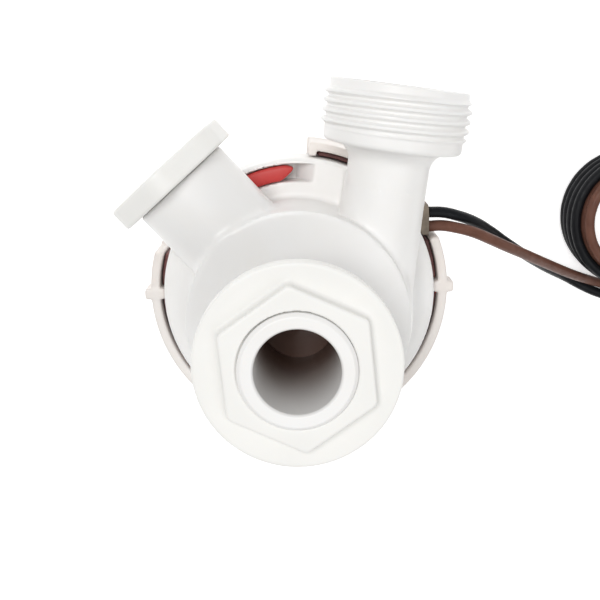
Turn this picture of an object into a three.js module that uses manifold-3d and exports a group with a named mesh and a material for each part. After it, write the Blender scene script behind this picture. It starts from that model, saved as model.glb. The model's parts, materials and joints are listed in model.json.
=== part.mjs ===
// A cartridge circulation pump: a threaded hull intake with a flanged nut, a tangential threaded outlet, a
// second outlet closed by a hex plug, and a motor cartridge that twists into the housing from behind.
// Millimetres. It stands on the flat end of its motor; +Z runs along the pump's axis to the intake's tip.
import * as THREE from "three";
import { mergeVertices } from "three/addons/utils/BufferGeometryUtils.js";
import Module from "manifold-3d";

const wasm = await Module();
wasm.setup();

// ---- Driving dimensions ----
const HEIGHT = 120; // motor end face to intake tip
const CLEAR = 0.3; // gap between neighbouring pieces

// Intake tube: 3/4 inch pipe size
const NOSE_R = 13.1;
const BORE_TIP_R = 9.5;
const BORE_ROOT_R = 9.15;
const THREAD_RELIEF = 0.8; // chamfer at the tip

// Intake nut and washer
const NUT_BORE_R = 13.5;
const NUT_HEX_R = 18.95; // to the hexagon's corners
const NUT_HEX_TURN = 36; // degrees
const NUT_FLANGE_R = 23.3;
const NUT_BACK_Z = 112.5;
const NUT_FLANGE_Z = 116.2;
const NUT_FRONT_Z = 118.9;
const WASHER_R = 21.3;
const WASHER_THICK = 2;

// Housing
const DISC_R = 28.8;
const DISC_Z = 85; // the shoulder that seats on the hull
const BODY_R = 28.3;
const CHAMBER_R = 25.5;
const CHAMBER_TOP_Z = 82;
const LOBE_R = 27.4; // the volute's swelling towards the outlet
const LOBE_SHIFT = 3.4;
const DRUM_R = 38.8;
const RIM_Z = 57.3;
const SKIRT_R = 36.3; // inside of the skirt that the cartridge enters
const SKIRT_END_Z = 42.5;
const ROOF_Z = 50.3;
const PORT_Z = 70.5; // height of both outlets' axes

// Threaded outlet, along a line beside the pump's axis. Its tube is a solid of its own from the split outwards.
const OUTLET_DIRECTION = 82.5; // degrees from +X
const OUTLET_OFFSET = 18.7;
const OUTLET_REACH = 62.6; // from the foot of the perpendicular to the mouth
const OUTLET_SPLIT = 33;
const OUTLET_NECK_R = 10.8;
const OUTLET_BORE_R = 8.3;
const OUTLET_END_R = 18.3;
const OUTLET_MOUTH_R = 15.4;
const OUTLET_THREAD_R = 19.4;
const OUTLET_PITCH = 2.55;
const OUTLET_TURNS = 4;

// Plugged outlet, straight out from the pump's axis
const PLUG_DIRECTION = 132.5; // degrees from +X
const PLUG_NECK_R = 14;
const PLUG_NECK_END = 46.3;
const PLUG_BORE_R = 10.55;
const PLUG_HEX_R = 19.6;
const PLUG_HEX_TURN = 86; // degrees
const PLUG_FACE = 52.5; // pump axis to the plug's outer face
const PLUG_STUB_R = 10.2;
const SEAL_POCKET_R = 12.6;
const SEAL_POCKET_DEPTH = 1.5;

// Cartridge flange, its broken collar, and the bayonet
const FLANGE_LOW_Z = 37.5;
const FLANGE_TOP_Z = 40.5;
const COLLAR_IN_R = 40.7;
const COLLAR_R = 43.4;
const COLLAR_TOP_Z = 52.8;
const LIP_TOP_Z = 50.2; // of the brown gasket in the gap inside the collar
const COLLAR_FROM = 165; // degrees
const COLLAR_TO = 381;
const BRACKET_FROM = 42.5;
const BRACKET_TO = 85.8;
const OPEN_FROM = 86.6; // the flange is cut back under the drum from here to the collar
const OPEN_TO = 164;
const BRACKET_R = 43.1;
const SPIGOT_R = 35.9;
const SPIGOT_TOP_Z = 45.7;
const LUG_R = 37.3;
const LUG_LOW_Z = 44.3;
const LUG_TOP_Z = SPIGOT_TOP_Z;
const LUG_STARTS = [20, 140, 260]; // degrees
const LUG_SPAN = 22;
const TWIST = 15; // degrees that the housing turns to come free
const GRIP_WIDTH = 3.3;
const GRIP_OUT_R = 45.2;

// Red release latch, an arc in the housing's shoulder
const LATCH_TIP = 92; // degrees
const LATCH_ROOT = 121.2;
const LATCH_IN_R = 32.7;
const LATCH_OUT_R = 37;
const LATCH_LOW_Z = 54.4;
const LATCH_TOP_Z = 58.1;
const HINGE_ANGLE = 119.5; // degrees
const HINGE_Z = 55.5;
const HINGE_PIN_R = 1;
const RECESS_FROM = 84;
const RECESS_TO = 122;
const RECESS_FLOOR_Z = 51.4;

// Motor
const COVER_R = 26.9;
const COVER_TOP_Z = 37.2;
const COVER_FLANGE_R = 33.2;
const CAN_R = 18.5;
const CAN_LOW_Z = 8;
const CAN_TOP_Z = 54;
const CAN_WALL = 1.2;
const SHAFT_R = 2.5;
const SHAFT_BORE_R = 2.75;
const CORE_R = 14.5;
const CORE_LOW_Z = 22.9;
const CORE_TOP_Z = 41;
const COIL_SLOTS = 5;
const SLOT_RING_R = 10.2;
const BRUSH_Z = 14;
const SCREW_RING_R = 30;
const SCREW_ANGLES = [75, 195, 315]; // degrees

// Impeller
const IMPELLER_R = 20;
const IMPELLER_LOW_Z = 61;
const VANES = 6;
const VANE_ROOT_R = 7.5;
const VANE_TURN = 14; // degrees
const VANE_TOP_Z = 79;

// Leads
const LEAD_R = 1.65;
const LEAD_Z = 47.5; // height at which the leads leave the gland
const GLAND_FACE_X = 38.05;
const COIL_CENTRE = [114, 12.5];
const BLACK_COIL_R = 21.45; // middle of the outer stack of turns
const BLACK_COIL_TOP_Z = 17.8;
const BROWN_COIL_R = 18.15; // middle of the inner stack
const BROWN_COIL_TOP_Z = 21;

// Facets round a full circle
const WIDE = 40;
const MIDDLE = 24;
const NARROW = 14;

// ---- Geometry helpers ----
const radians = THREE.MathUtils.degToRad;

function signedVolume(positions, index) {
  const [a, b, c] = [new THREE.Vector3(), new THREE.Vector3(), new THREE.Vector3()];
  let six = 0;
  for (let i = 0; i < index.length; i += 3) {
    a.fromArray(positions, 3 * index[i]);
    b.fromArray(positions, 3 * index[i + 1]);
    c.fromArray(positions, 3 * index[i + 2]);
    six += a.dot(b.cross(c));
  }
  return six / 6;
}

// One closed surface: shared vertices merged, collapsed triangles dropped, faces turned outwards.
function weld(geometry) {
  geometry.deleteAttribute("normal");
  geometry.deleteAttribute("uv");
  const merged = mergeVertices(geometry);
  const index = [];
  for (let i = 0; i < merged.index.count; i += 3) {
    const [a, b, c] = merged.index.array.slice(i, i + 3);
    if (a !== b && b !== c && c !== a) {
      index.push(a, b, c);
    }
  }
  if (signedVolume(merged.attributes.position.array, index) < 0) {
    index.reverse();
  }
  return merged.setIndex(index);
}

// A solid of revolution about Z from [radius, z] points. A profile that starts off the axis closes on itself.
function turned(profile, segments = WIDE) {
  const outline = profile[0][0] > 0 ? [...profile, profile[0]] : profile;
  const points = outline.map(([r, z]) => new THREE.Vector2(r, z));
  return weld(new THREE.LatheGeometry(points, segments).rotateX(Math.PI / 2));
}

function disc(radius, low, high, segments = WIDE) {
  return turned([[0, low], [radius, low], [radius, high], [0, high]], segments);
}

function ring(inner, outer, low, high, segments = WIDE) {
  return turned([[inner, low], [outer, low], [outer, high], [inner, high]], segments);
}

function raised(shape, low, high, curveSegments = 12) {
  const options = { depth: high - low, bevelEnabled: false, curveSegments };
  return weld(new THREE.ExtrudeGeometry(shape, options).translate(0, 0, low));
}

// A piece of a ring between two angles in degrees.
function sector(inner, outer, from, to, low, high) {
  const shape = new THREE.Shape();
  shape.absarc(0, 0, outer, radians(from), radians(to), false);
  shape.absarc(0, 0, inner, radians(to), radians(from), true);
  shape.closePath();
  return raised(shape, low, high, Math.max(1, Math.ceil((to - from) / 15)));
}

function polygon(radius, sides, turn = 0) {
  const corners = Array.from({ length: sides }, (_, i) => {
    const angle = radians(turn) + (2 * Math.PI * i) / sides;
    return new THREE.Vector2(radius * Math.cos(angle), radius * Math.sin(angle));
  });
  return new THREE.Shape(corners);
}

function block(x, y, z) {
  const size = [x, y, z].map(([low, high]) => high - low);
  const middle = [x, y, z].map(([low, high]) => (low + high) / 2);
  return weld(new THREE.BoxGeometry(...size).translate(...middle));
}

// A tube of a given number of sides along a smooth curve through points.
function tube(points, radius, sides, steps) {
  const path = new THREE.CatmullRomCurve3(points.map((p) => new THREE.Vector3(...p)), false, "centripetal");
  const options = { extrudePath: path, steps, bevelEnabled: false };
  return weld(new THREE.ExtrudeGeometry(polygon(radius, sides), options));
}

function solidOf(geometry) {
  const vertProperties = geometry.attributes.position.array;
  const triVerts = new Uint32Array(geometry.index.array);
  return new wasm.Manifold(new wasm.Mesh({ numProp: 3, vertProperties, triVerts }));
}

function geometryOf(solid) {
  const mesh = solid.getMesh();
  const geometry = new THREE.BufferGeometry();
  geometry.setAttribute("position", new THREE.BufferAttribute(new Float32Array(mesh.vertProperties), 3));
  return geometry.setIndex(Array.from(mesh.triVerts));
}

function join(...geometries) {
  return geometryOf(geometries.map(solidOf).reduce((a, b) => a.add(b)));
}

function cut(geometry, ...tools) {
  return geometryOf(tools.map(solidOf).reduce((a, b) => a.subtract(b), solidOf(geometry)));
}

// The frame of an outlet: its local Z points out along the outlet, its local Y is the pump's +Z.
function portFrame(direction, offset) {
  const angle = radians(direction);
  const out = new THREE.Vector3(Math.cos(angle), Math.sin(angle), 0);
  const up = new THREE.Vector3(0, 0, 1);
  const side = new THREE.Vector3().crossVectors(up, out);
  const origin = side.clone().multiplyScalar(-offset);
  return new THREE.Matrix4().makeBasis(side, up, out).setPosition(origin.x, origin.y, PORT_Z);
}

function turnedAbout(geometry, degrees) {
  return geometry.rotateZ(radians(degrees));
}

// ---- Materials ----
function material(color, roughness, metalness = 0) {
  return new THREE.MeshStandardMaterial({ color, roughness, metalness });
}

const WHITE_PLASTIC = material(0xf3f2ef, 0.42);
const CREAM_PLASTIC = material(0xf3f1e8, 0.5);
const BLUSH_PLASTIC = material(0xf0e6df, 0.45);
const RED_PLASTIC = material(0xcc3d38, 0.4);
const GREY_PLASTIC = material(0xc9cac8, 0.5);
const BROWN_RUBBER = material(0x4a2c2a, 0.7);
const BLACK_RUBBER = material(0x1b1c1e, 0.7);
const OLIVE_RUBBER = material(0x8d8672, 0.7);
const STEEL = material(0xb9bcc0, 0.3, 1);
const ZINC = material(0x9fa4a8, 0.4, 1);
const FERRITE = material(0x3c3c40, 0.8);
const LAMINATION = material(0x6a6d72, 0.5, 1);
const COPPER = material(0xb5683a, 0.35, 1);
const BRONZE = material(0xa9824c, 0.45, 1);
const CARBON = material(0x2a2a2c, 0.9);
const BLACK_PVC = material(0x1e1f22, 0.45);
const BROWN_PVC = material(0x6d483c, 0.5);

function piece(name, geometry, finish) {
  const mesh = new THREE.Mesh(geometry, finish);
  mesh.name = name;
  return mesh;
}

function assembly(...members) {
  const group = new THREE.Group();
  group.add(...members);
  return group;
}

// ---- Housing ----
function housingOutside() {
  return turned([
    [0, SKIRT_END_Z],
    [DRUM_R, SKIRT_END_Z],
    [DRUM_R, RIM_Z - 0.8],
    [DRUM_R - 0.7, RIM_Z],
    [37.2, 58],
    [32.3, 60],
    [29.6, 62.2],
    [BODY_R, 66],
    [DISC_R, 80.4],
    [DISC_R, CHAMBER_TOP_Z - CLEAR],
    [0, CHAMBER_TOP_Z - CLEAR],
  ]);
}

function housingInside() {
  return turned([
    [0, SKIRT_END_Z - 1],
    [SKIRT_R, SKIRT_END_Z - 1],
    [SKIRT_R, ROOF_Z],
    [CHAMBER_R, ROOF_Z],
    [CHAMBER_R, CHAMBER_TOP_Z + 1],
    [0, CHAMBER_TOP_Z + 1],
  ]);
}

// The tube that passes through the hull, and the front disc it stands on, which closes the pump's chamber.
function intakeTube() {
  return turned([
    [BORE_ROOT_R, CHAMBER_TOP_Z],
    [DISC_R, CHAMBER_TOP_Z],
    [DISC_R, DISC_Z - 0.4],
    [DISC_R - 0.4, DISC_Z],
    [NOSE_R, DISC_Z],
    [NOSE_R, HEIGHT - THREAD_RELIEF],
    [NOSE_R - THREAD_RELIEF, HEIGHT],
    [BORE_TIP_R + 0.4, HEIGHT],
    [BORE_TIP_R, HEIGHT - 0.4],
  ]);
}

// Neck, rounded shoulder, plain band, V thread, lead-in rim and bored mouth.
function outletTube() {
  const bandTop = OUTLET_REACH - 3 - OUTLET_TURNS * OUTLET_PITCH;
  const thread = Array.from({ length: OUTLET_TURNS }, (_, i) => {
    const root = bandTop + i * OUTLET_PITCH;
    return [
      [OUTLET_END_R, root],
      [OUTLET_THREAD_R, root + OUTLET_PITCH / 2],
    ];
  });
  const profile = [
    [OUTLET_BORE_R, OUTLET_SPLIT + CLEAR],
    [OUTLET_NECK_R, OUTLET_SPLIT + CLEAR],
    [OUTLET_NECK_R, 43],
    [OUTLET_NECK_R + 0.7, 44.6],
    [OUTLET_NECK_R + 2.4, 45.6],
    [OUTLET_END_R - 1, 46.1],
    [OUTLET_END_R, 47.1],
    ...thread.flat(),
    [OUTLET_END_R, OUTLET_REACH - 3],
    [OUTLET_END_R, OUTLET_REACH - 0.4],
    [OUTLET_END_R - 0.4, OUTLET_REACH],
    [OUTLET_MOUTH_R, OUTLET_REACH],
    [OUTLET_MOUTH_R - 0.3, 50],
    [OUTLET_BORE_R, 46],
  ];
  return turned(profile, MIDDLE + 8);
}

function plugNeckInside() {
  const pocketFloor = PLUG_NECK_END - SEAL_POCKET_DEPTH;
  const profile = [
    [0, 18],
    [PLUG_BORE_R, 18],
    [PLUG_BORE_R, pocketFloor],
    [SEAL_POCKET_R, pocketFloor],
    [SEAL_POCKET_R, PLUG_NECK_END + 1],
    [0, PLUG_NECK_END + 1],
  ];
  return turned(profile, MIDDLE);
}

// The L-shaped track of one bayonet lug, cut into the skirt from inside.
function bayonetTrack(start) {
  const from = start - TWIST - 1.5;
  const outer = LUG_R + 0.4;
  const to = start + LUG_SPAN + 1.5;
  const run = sector(SKIRT_R - 0.5, outer, from, to, LUG_LOW_Z - CLEAR, LUG_TOP_Z + CLEAR);
  const entry = sector(SKIRT_R - 0.5, outer, from, from + LUG_SPAN + 3, SKIRT_END_Z - 1, LUG_LOW_Z);
  return join(run, entry);
}

function housing() {
  const outlet = portFrame(OUTLET_DIRECTION, OUTLET_OFFSET);
  const plugged = portFrame(PLUG_DIRECTION, 0);
  const lobe = disc(LOBE_R, PORT_Z - 11.3, PORT_Z + 9.7).translate(LOBE_SHIFT, 0, 0);
  const recess = sector(
    LATCH_IN_R - 0.4, LATCH_OUT_R + 0.4, RECESS_FROM, RECESS_TO, RECESS_FLOOR_Z, RIM_Z + 6);
  const shell = join(
    cut(housingOutside(), recess, hingePin(HINGE_PIN_R + CLEAR, 31.2, 38.3)),
    lobe,
    disc(OUTLET_NECK_R, 0, OUTLET_SPLIT, MIDDLE + 8).applyMatrix4(outlet),
    disc(PLUG_NECK_R, 15, PLUG_NECK_END, MIDDLE + 4).applyMatrix4(plugged),
  );
  return cut(
    shell,
    housingInside(),
    disc(DISC_R + CLEAR, CHAMBER_TOP_Z - CLEAR, DISC_Z + 1),
    disc(OUTLET_BORE_R, 1, OUTLET_SPLIT + 1, MIDDLE + 8).applyMatrix4(outlet),
    plugNeckInside().applyMatrix4(plugged),
    ...LUG_STARTS.map(bayonetTrack),
  );
}

// A pin along the latch's hinge line, or the sockets for it.
function hingePin(radius, inner, outer) {
  const pin = disc(radius, inner, outer, 12).rotateY(Math.PI / 2).translate(0, 0, HINGE_Z);
  return turnedAbout(pin, HINGE_ANGLE);
}

// The arm lowers towards its root, where it passes under the plugged outlet's neck.
function releaseLatch() {
  const arm = sector(LATCH_IN_R, LATCH_OUT_R, LATCH_TIP, 117.5, LATCH_LOW_Z, LATCH_TOP_Z);
  const root = sector(LATCH_IN_R, LATCH_OUT_R, 116, LATCH_ROOT, LATCH_LOW_Z, LATCH_TOP_Z - 0.9);
  return join(arm, root, hingePin(HINGE_PIN_R, 31.6, 38));
}

function intakeNut() {
  const flange = turned([
    [NUT_BORE_R, NUT_BACK_Z],
    [NUT_FLANGE_R, NUT_BACK_Z],
    [NUT_FLANGE_R, NUT_FLANGE_Z - 0.4],
    [NUT_FLANGE_R - 0.4, NUT_FLANGE_Z],
    [NUT_HEX_R - 2, NUT_FLANGE_Z - 0.5],
    [NUT_BORE_R, NUT_FLANGE_Z - 0.5],
  ]);
  const hexagon = raised(polygon(NUT_HEX_R, 6, NUT_HEX_TURN), NUT_BACK_Z + 0.5, NUT_FRONT_Z);
  return cut(join(flange, hexagon), disc(NUT_BORE_R, NUT_BACK_Z - 1, NUT_FRONT_Z + 1));
}

function hullWasher() {
  const top = NUT_BACK_Z - CLEAR;
  return ring(NUT_BORE_R + 0.1, WASHER_R, top - WASHER_THICK, top);
}

// Modelled along the outlet's own axis, like its seal ring.
function outletPlug() {
  const head = raised(polygon(PLUG_HEX_R, 6, PLUG_HEX_TURN), PLUG_NECK_END + CLEAR, PLUG_FACE);
  const stub = disc(PLUG_STUB_R, 35, PLUG_NECK_END + 1, MIDDLE);
  return cut(join(head, stub), disc(PLUG_STUB_R - 2.6, 34, PLUG_NECK_END, NARROW));
}

function plugSeal() {
  const low = PLUG_NECK_END - SEAL_POCKET_DEPTH + 0.2;
  return ring(PLUG_STUB_R + 0.35, SEAL_POCKET_R - CLEAR, low, PLUG_NECK_END - 0.1, MIDDLE);
}

// ---- Rotor ----
function vane() {
  const steps = 5;
  const tip = IMPELLER_R - 0.3;
  const half = 0.9;
  const sweep = radians(-38);
  const side = (offset) =>
    Array.from({ length: steps + 1 }, (_, i) => {
      const r = VANE_ROOT_R + ((tip - VANE_ROOT_R) * i) / steps;
      const angle = (sweep * i) / steps + offset / r;
      return new THREE.Vector2(r * Math.cos(angle), r * Math.sin(angle));
    });
  const outline = [...side(-half), ...side(half).reverse()];
  return raised(new THREE.Shape(outline), IMPELLER_LOW_Z + 0.5, VANE_TOP_Z);
}

function impeller() {
  const hub = turned([
    [0, 77.6],
    [SHAFT_BORE_R, 77.6],
    [SHAFT_BORE_R, IMPELLER_LOW_Z],
    [IMPELLER_R, IMPELLER_LOW_Z],
    [IMPELLER_R, IMPELLER_LOW_Z + 1.6],
    [5.8, IMPELLER_LOW_Z + 1.6],
    [5.4, 76.6],
    [3.9, 78.8],
    [0, 79.6],
  ], NARROW + 4);
  const vanes = Array.from({ length: VANES }, (_, i) => turnedAbout(vane(), VANE_TURN + (360 * i) / VANES));
  return join(hub, ...vanes);
}

function coilSlots(radius, low, high) {
  return Array.from({ length: COIL_SLOTS }, (_, i) => {
    const slot = disc(radius, low, high, 12).translate(SLOT_RING_R, 0, 0);
    return turnedAbout(slot, (360 * i) / COIL_SLOTS);
  });
}

function armatureCore() {
  const body = ring(SHAFT_BORE_R, CORE_R, CORE_LOW_Z, CORE_TOP_Z, NARROW + 20);
  const mouths = Array.from({ length: COIL_SLOTS }, (_, i) =>
    turnedAbout(block([SLOT_RING_R, CORE_R + 1], [-0.9, 0.9], [0, 60]), (360 * i) / COIL_SLOTS));
  return cut(body, ...coilSlots(2.9, 0, 60), ...mouths);
}

function windings() {
  const endTurn = (low, high) => turned([
    [6, low],
    [12.2, low],
    [13.2, (low + high) / 2],
    [12.2, high],
    [6, high],
    [5, (low + high) / 2],
  ], NARROW);
  const lower = endTurn(CORE_LOW_Z - 4.2, CORE_LOW_Z - CLEAR);
  const upper = endTurn(CORE_TOP_Z + CLEAR, CORE_TOP_Z + 4.2);
  return join(lower, upper, ...coilSlots(2.5, CORE_LOW_Z - 1, CORE_TOP_Z + 1));
}

function shaft() {
  return turned([[0, 5], [2, 5], [SHAFT_R, 5.5], [SHAFT_R, 76.6], [2, 77.2], [0, 77.2]], NARROW);
}

const rotor = assembly(
  piece("impeller", impeller(), GREY_PLASTIC),
  piece("shaft", shaft(), STEEL),
  piece("armature_core", armatureCore(), LAMINATION),
  piece("armature_windings", windings(), COPPER),
  piece("commutator", ring(SHAFT_BORE_R, 5, 11.5, 17.5, NARROW), COPPER),
);

// ---- Motor ----
function motorCan() {
  const inner = CAN_R - CAN_WALL;
  return turned([
    [inner, CAN_LOW_Z],
    [CAN_R, CAN_LOW_Z],
    [CAN_R, CAN_TOP_Z - 0.6],
    [CAN_R - 0.6, CAN_TOP_Z],
    [6, CAN_TOP_Z],
    [6, CAN_TOP_Z + 2.6],
    [3.1, CAN_TOP_Z + 2.6],
    [3.1, CAN_TOP_Z + 1.8],
    [4.5, CAN_TOP_Z + 1.8],
    [4.5, CAN_TOP_Z - CAN_WALL],
    [inner, CAN_TOP_Z - CAN_WALL],
  ], NARROW + 16);
}

function brushHolder() {
  const box = block([6.8, 16.4], [-3, 3], [10.8, 17.2]);
  return cut(box, block([6, 15.8], [-2, 2], [BRUSH_Z - 2, BRUSH_Z + 2]));
}

function brushCap() {
  const plate = turned([
    [3.1, 4.6],
    [6, 4.6],
    [6, 8.4],
    [CAN_R - CAN_WALL - CLEAR, 8.4],
    [CAN_R - CAN_WALL - CLEAR, 11],
    [4.5, 11],
    [4.5, 6.2],
    [3.1, 6.2],
  ], NARROW + 12);
  return join(plate, brushHolder(), turnedAbout(brushHolder(), 180));
}

// A helical spring along X that pushes a brush onto the commutator.
class SpringLine extends THREE.Curve {
  getPoint(t) {
    const turns = 3.5;
    const angle = 2 * Math.PI * turns * t;
    return new THREE.Vector3(10.6 + 4.8 * t, 1.15 * Math.cos(angle), BRUSH_Z + 1.15 * Math.sin(angle));
  }
}

function brushSpring() {
  const options = { extrudePath: new SpringLine(), steps: 28, bevelEnabled: false };
  return weld(new THREE.ExtrudeGeometry(polygon(0.25, 4), options));
}

function motorCover() {
  const cup = turned([
    [0, 0],
    [COVER_R - 1.7, 0],
    [COVER_R - 0.9, 0.8],
    [COVER_R, COVER_TOP_Z - 3],
    [COVER_FLANGE_R, COVER_TOP_Z - 3],
    [COVER_FLANGE_R, COVER_TOP_Z],
    [COVER_R - 2.5, COVER_TOP_Z],
    [COVER_R - 3.1, 2.6],
    [0, 2.6],
  ]);
  const cradle = ring(CAN_R + CLEAR, CAN_R + 2.4, 2.2, 14, MIDDLE + 4);
  const cradleGap = turnedAbout(block([15, 22], [-4.5, 4.5], [2.6, 15]), DUCT_DIRECTION);
  const ductNotch = turnedAbout(block([16, 40], [-6.3, 6.3], [30.2, 40]), DUCT_DIRECTION);
  const holes = SCREW_ANGLES.map((angle) => screwHole(angle, 1.6, 30, 40));
  return cut(join(cup, cut(cradle, cradleGap)), ductNotch, ...holes);
}

function screwHole(angle, radius, low, high) {
  return turnedAbout(disc(radius, low, high, 12).translate(SCREW_RING_R, 0, 0), angle);
}

function coverScrew(angle) {
  const profile = [[0, 31.9], [2.5, 31.9], [2.9, 32.6], [2.9, 33.9], [1.25, 33.9], [1.25, 43.2], [0, 44]];
  return turnedAbout(turned(profile, 12).translate(SCREW_RING_R, 0, 0), angle);
}

// ---- Cartridge ----
const DUCT_DIRECTION = 28.8; // degrees, from the motor out to the lead gland

// A rib that bridges the gap between collar and drum and stands out as a finger grip.
function grip(angle, width) {
  const rib = block([DRUM_R + 0.4, GRIP_OUT_R], [-width / 2, width / 2], [46, COLLAR_TOP_Z + 0.1]);
  return turnedAbout(rib, angle);
}

function cartridgeFlange() {
  const base = turned([
    [COVER_R - 2.1, FLANGE_LOW_Z],
    [COLLAR_R, FLANGE_LOW_Z],
    [COLLAR_R, FLANGE_TOP_Z],
    [SPIGOT_R, FLANGE_TOP_Z],
    [SPIGOT_R, SPIGOT_TOP_Z],
    [SPIGOT_R - 2.7, SPIGOT_TOP_Z],
    [SPIGOT_R - 2.7, FLANGE_TOP_Z],
    [COVER_R - 2.1, FLANGE_TOP_Z],
  ]);
  const lugs = LUG_STARTS.map((a) => sector(SPIGOT_R - 1, LUG_R, a, a + LUG_SPAN, LUG_LOW_Z, LUG_TOP_Z));
  const wallLow = FLANGE_TOP_Z - 0.5;
  const collar = sector(COLLAR_IN_R, COLLAR_R, COLLAR_FROM, COLLAR_TO, wallLow, COLLAR_TOP_Z);
  const bracket = sector(COLLAR_IN_R, BRACKET_R, BRACKET_FROM, BRACKET_TO, wallLow, COLLAR_TOP_Z);
  const bracketEnd = sector(DRUM_R + 0.4, COLLAR_IN_R + 1, BRACKET_TO - 3.2, BRACKET_TO, 44, COLLAR_TOP_Z);
  const duct = turnedAbout(block([24.3, 43.2], [-6, 6], [30.5, FLANGE_LOW_Z + 0.5]), DUCT_DIRECTION);
  const ductInside = turnedAbout(block([20, 42.3], [-4.6, 4.6], [32, FLANGE_LOW_Z]), DUCT_DIRECTION);
  const riser = turnedAbout(block([39.9, 42.3], [-4.2, 4.2], [32, FLANGE_TOP_Z + 1]), DUCT_DIRECTION);
  const bosses = SCREW_ANGLES.map((angle) => screwHole(angle, 2.8, FLANGE_TOP_Z - 1, FLANGE_TOP_Z + 4.4));
  const holes = SCREW_ANGLES.map((angle) => screwHole(angle, 1.6, 30, FLANGE_TOP_Z + 3.9));
  const whole = join(
    base, ...lugs, ...bosses, collar, bracket, bracketEnd,
    grip(182.3, GRIP_WIDTH), grip(0.7, GRIP_WIDTH), duct);
  const open = sector(DRUM_R - 1.5, COLLAR_R + 1, OPEN_FROM, OPEN_TO, FLANGE_LOW_Z - 1, FLANGE_TOP_Z + 1);
  return cut(whole, open, ductInside, riser, ...holes);
}

function cartridgePlate() {
  return turned([
    [CAN_R + 0.4, 46],
    [36, 46],
    [36, 46.9],
    [34.2, 46.9],
    [34.2, 49.1],
    [36, 49.1],
    [36, ROOF_Z - CLEAR],
    [25.1, ROOF_Z - CLEAR],
    [25.1, 60],
    [6.8, 60],
    [6.8, 58.2],
    [3.3, 58.2],
    [3.3, 56.9],
    [CAN_R + 0.4, 56.9],
  ]);
}

function rubberRing(middleR, z, sectionR) {
  const profile = Array.from({ length: 6 }, (_, i) => {
    const angle = (Math.PI * i) / 3;
    return [middleR + sectionR * Math.cos(angle), z + sectionR * Math.sin(angle)];
  });
  return turned(profile, WIDE);
}

function leadGland() {
  const body = block([32, GLAND_FACE_X], [15.4, 24.4], [FLANGE_TOP_Z + CLEAR, 51]);
  return cut(body, disc(DRUM_R + 0.35, 30, 60));
}

// An open ring with a lip that stands up in the gap between drum and collar, notched for the gland and grips.
function collarGasket() {
  const outer = COLLAR_IN_R - CLEAR;
  const flat = ring(36.5, outer, FLANGE_TOP_Z + 0.2, SKIRT_END_Z - CLEAR);
  const lips = [[3.6, 20.4], [44, 81.8], [OPEN_TO + 1.5, 179.4], [185.2, 357.8]].map(([from, to]) =>
    sector(DRUM_R + 0.4, outer, from, to, FLANGE_TOP_Z + 0.5, LIP_TOP_Z));
  const notch = cut(block([30, 45], [14.9, 24.9], [38, 44]), disc(DRUM_R, 37, 45));
  const open = sector(35, COLLAR_IN_R + 1, OPEN_FROM, OPEN_TO + 1, FLANGE_TOP_Z, SKIRT_END_Z);
  return cut(join(flat, ...lips), notch, open);
}

// ---- Leads ----
// From the gland's bottom through the duct and down beside the motor can to the brush cap.
function innerLead(side) {
  const across = 2.3 * side;
  const route = [
    [41.1, across, 40.3],
    [41, across, 38],
    [39.5, across, 35.2],
    [34, across, 34.6],
    [26, across, 34.4],
    [22.7, across, 31],
    [22.2, across, 24],
    [22.2, across, 14],
    [21.6, across, 8.2],
    [18.6, across, 5.6],
    [15, across, 5.6],
    [14, across, 8.1],
  ];
  return turnedAbout(tube(route, 0.9, 6, 22), DUCT_DIRECTION);
}

const BLACK_ROUTE = [
  [GLAND_FACE_X + CLEAR, 21.7, LEAD_Z],
  [42.2, 21.6, 47.2],
  [47.2, 20.3, 45.8],
  [52.7, 17.9, 42.4],
  [58.7, 14, 36.7],
  [65.3, 9, 29.6],
  [72.3, 3.9, 22],
  [79.6, -1.2, 14.3],
  [86.9, -5.8, 7.5],
  [93.8, -9.6, 3],
  [100.2, -13.2, 1.8],
  [105.4, -15.5, 1.8],
  [110.5, -16.9, 1.8],
  [116, -16.9, 1.8],
  [121.5, -14.7, 1.8],
  [126.6, -10.8, 1.8],
  [131.1, -5.9, 1.8],
];

const BROWN_ROUTE = [
  [GLAND_FACE_X + CLEAR, 17.5, LEAD_Z],
  [42.1, 17.7, 47.6],
  [46.9, 16.9, 47.4],
  [51.9, 15.4, 46.4],
  [57.2, 12.9, 44.1],
  [62.9, 9.9, 40.4],
  [69.1, 6.6, 35],
  [75.8, 2.9, 28.5],
  [82.9, -1, 21.5],
  [90.2, -4.9, 14.7],
  [96.6, -8.1, 8.6],
  [100.8, -10, 4.8],
  [104.6, -11.5, 2.6],
  [108.6, -12.8, 1.8],
];

// Loose ends that come down off the coil and lie on the floor.
const BLACK_TAIL = [[136.9, 25.5, 10.6], [138.3, 31.5, 6.6], [139.9, 37, 3.4], [141.2, 41.5, 2], [142.2, 46, 1.8]];
const BROWN_TAIL = [[132.9, 30.4, 10.3], [133.8, 35, 6.4], [134.9, 39, 3.7], [136, 43, 2.2], [136.8, 47, 1.8]];

function bareTip([x, y, z], [dx, dy]) {
  const along = new THREE.Vector2(dx, dy).normalize();
  const at = (s) => [x + along.x * s, y + along.y * s, z];
  return tube([at(CLEAR), at(7)], 0.9, 8, 1);
}

function outerLead(name, route, steps, finish) {
  return piece(name, tube(route, LEAD_R, 8, steps), finish);
}

// The outer shape of one lead's stack of turns.
function coil(name, middleR, top, finish) {
  const half = LEAD_R - CLEAR / 2;
  const mesh = piece(name, ring(middleR - half, middleR + half, 0.2, top, MIDDLE + 8), finish);
  mesh.position.set(...COIL_CENTRE, 0);
  return mesh;
}

// ---- The whole pump ----
const plugGroup = assembly(
  piece("outlet_plug", outletPlug(), CREAM_PLASTIC),
  piece("plug_seal", plugSeal(), BLACK_RUBBER),
);
plugGroup.applyMatrix4(portFrame(PLUG_DIRECTION, 0));

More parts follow.
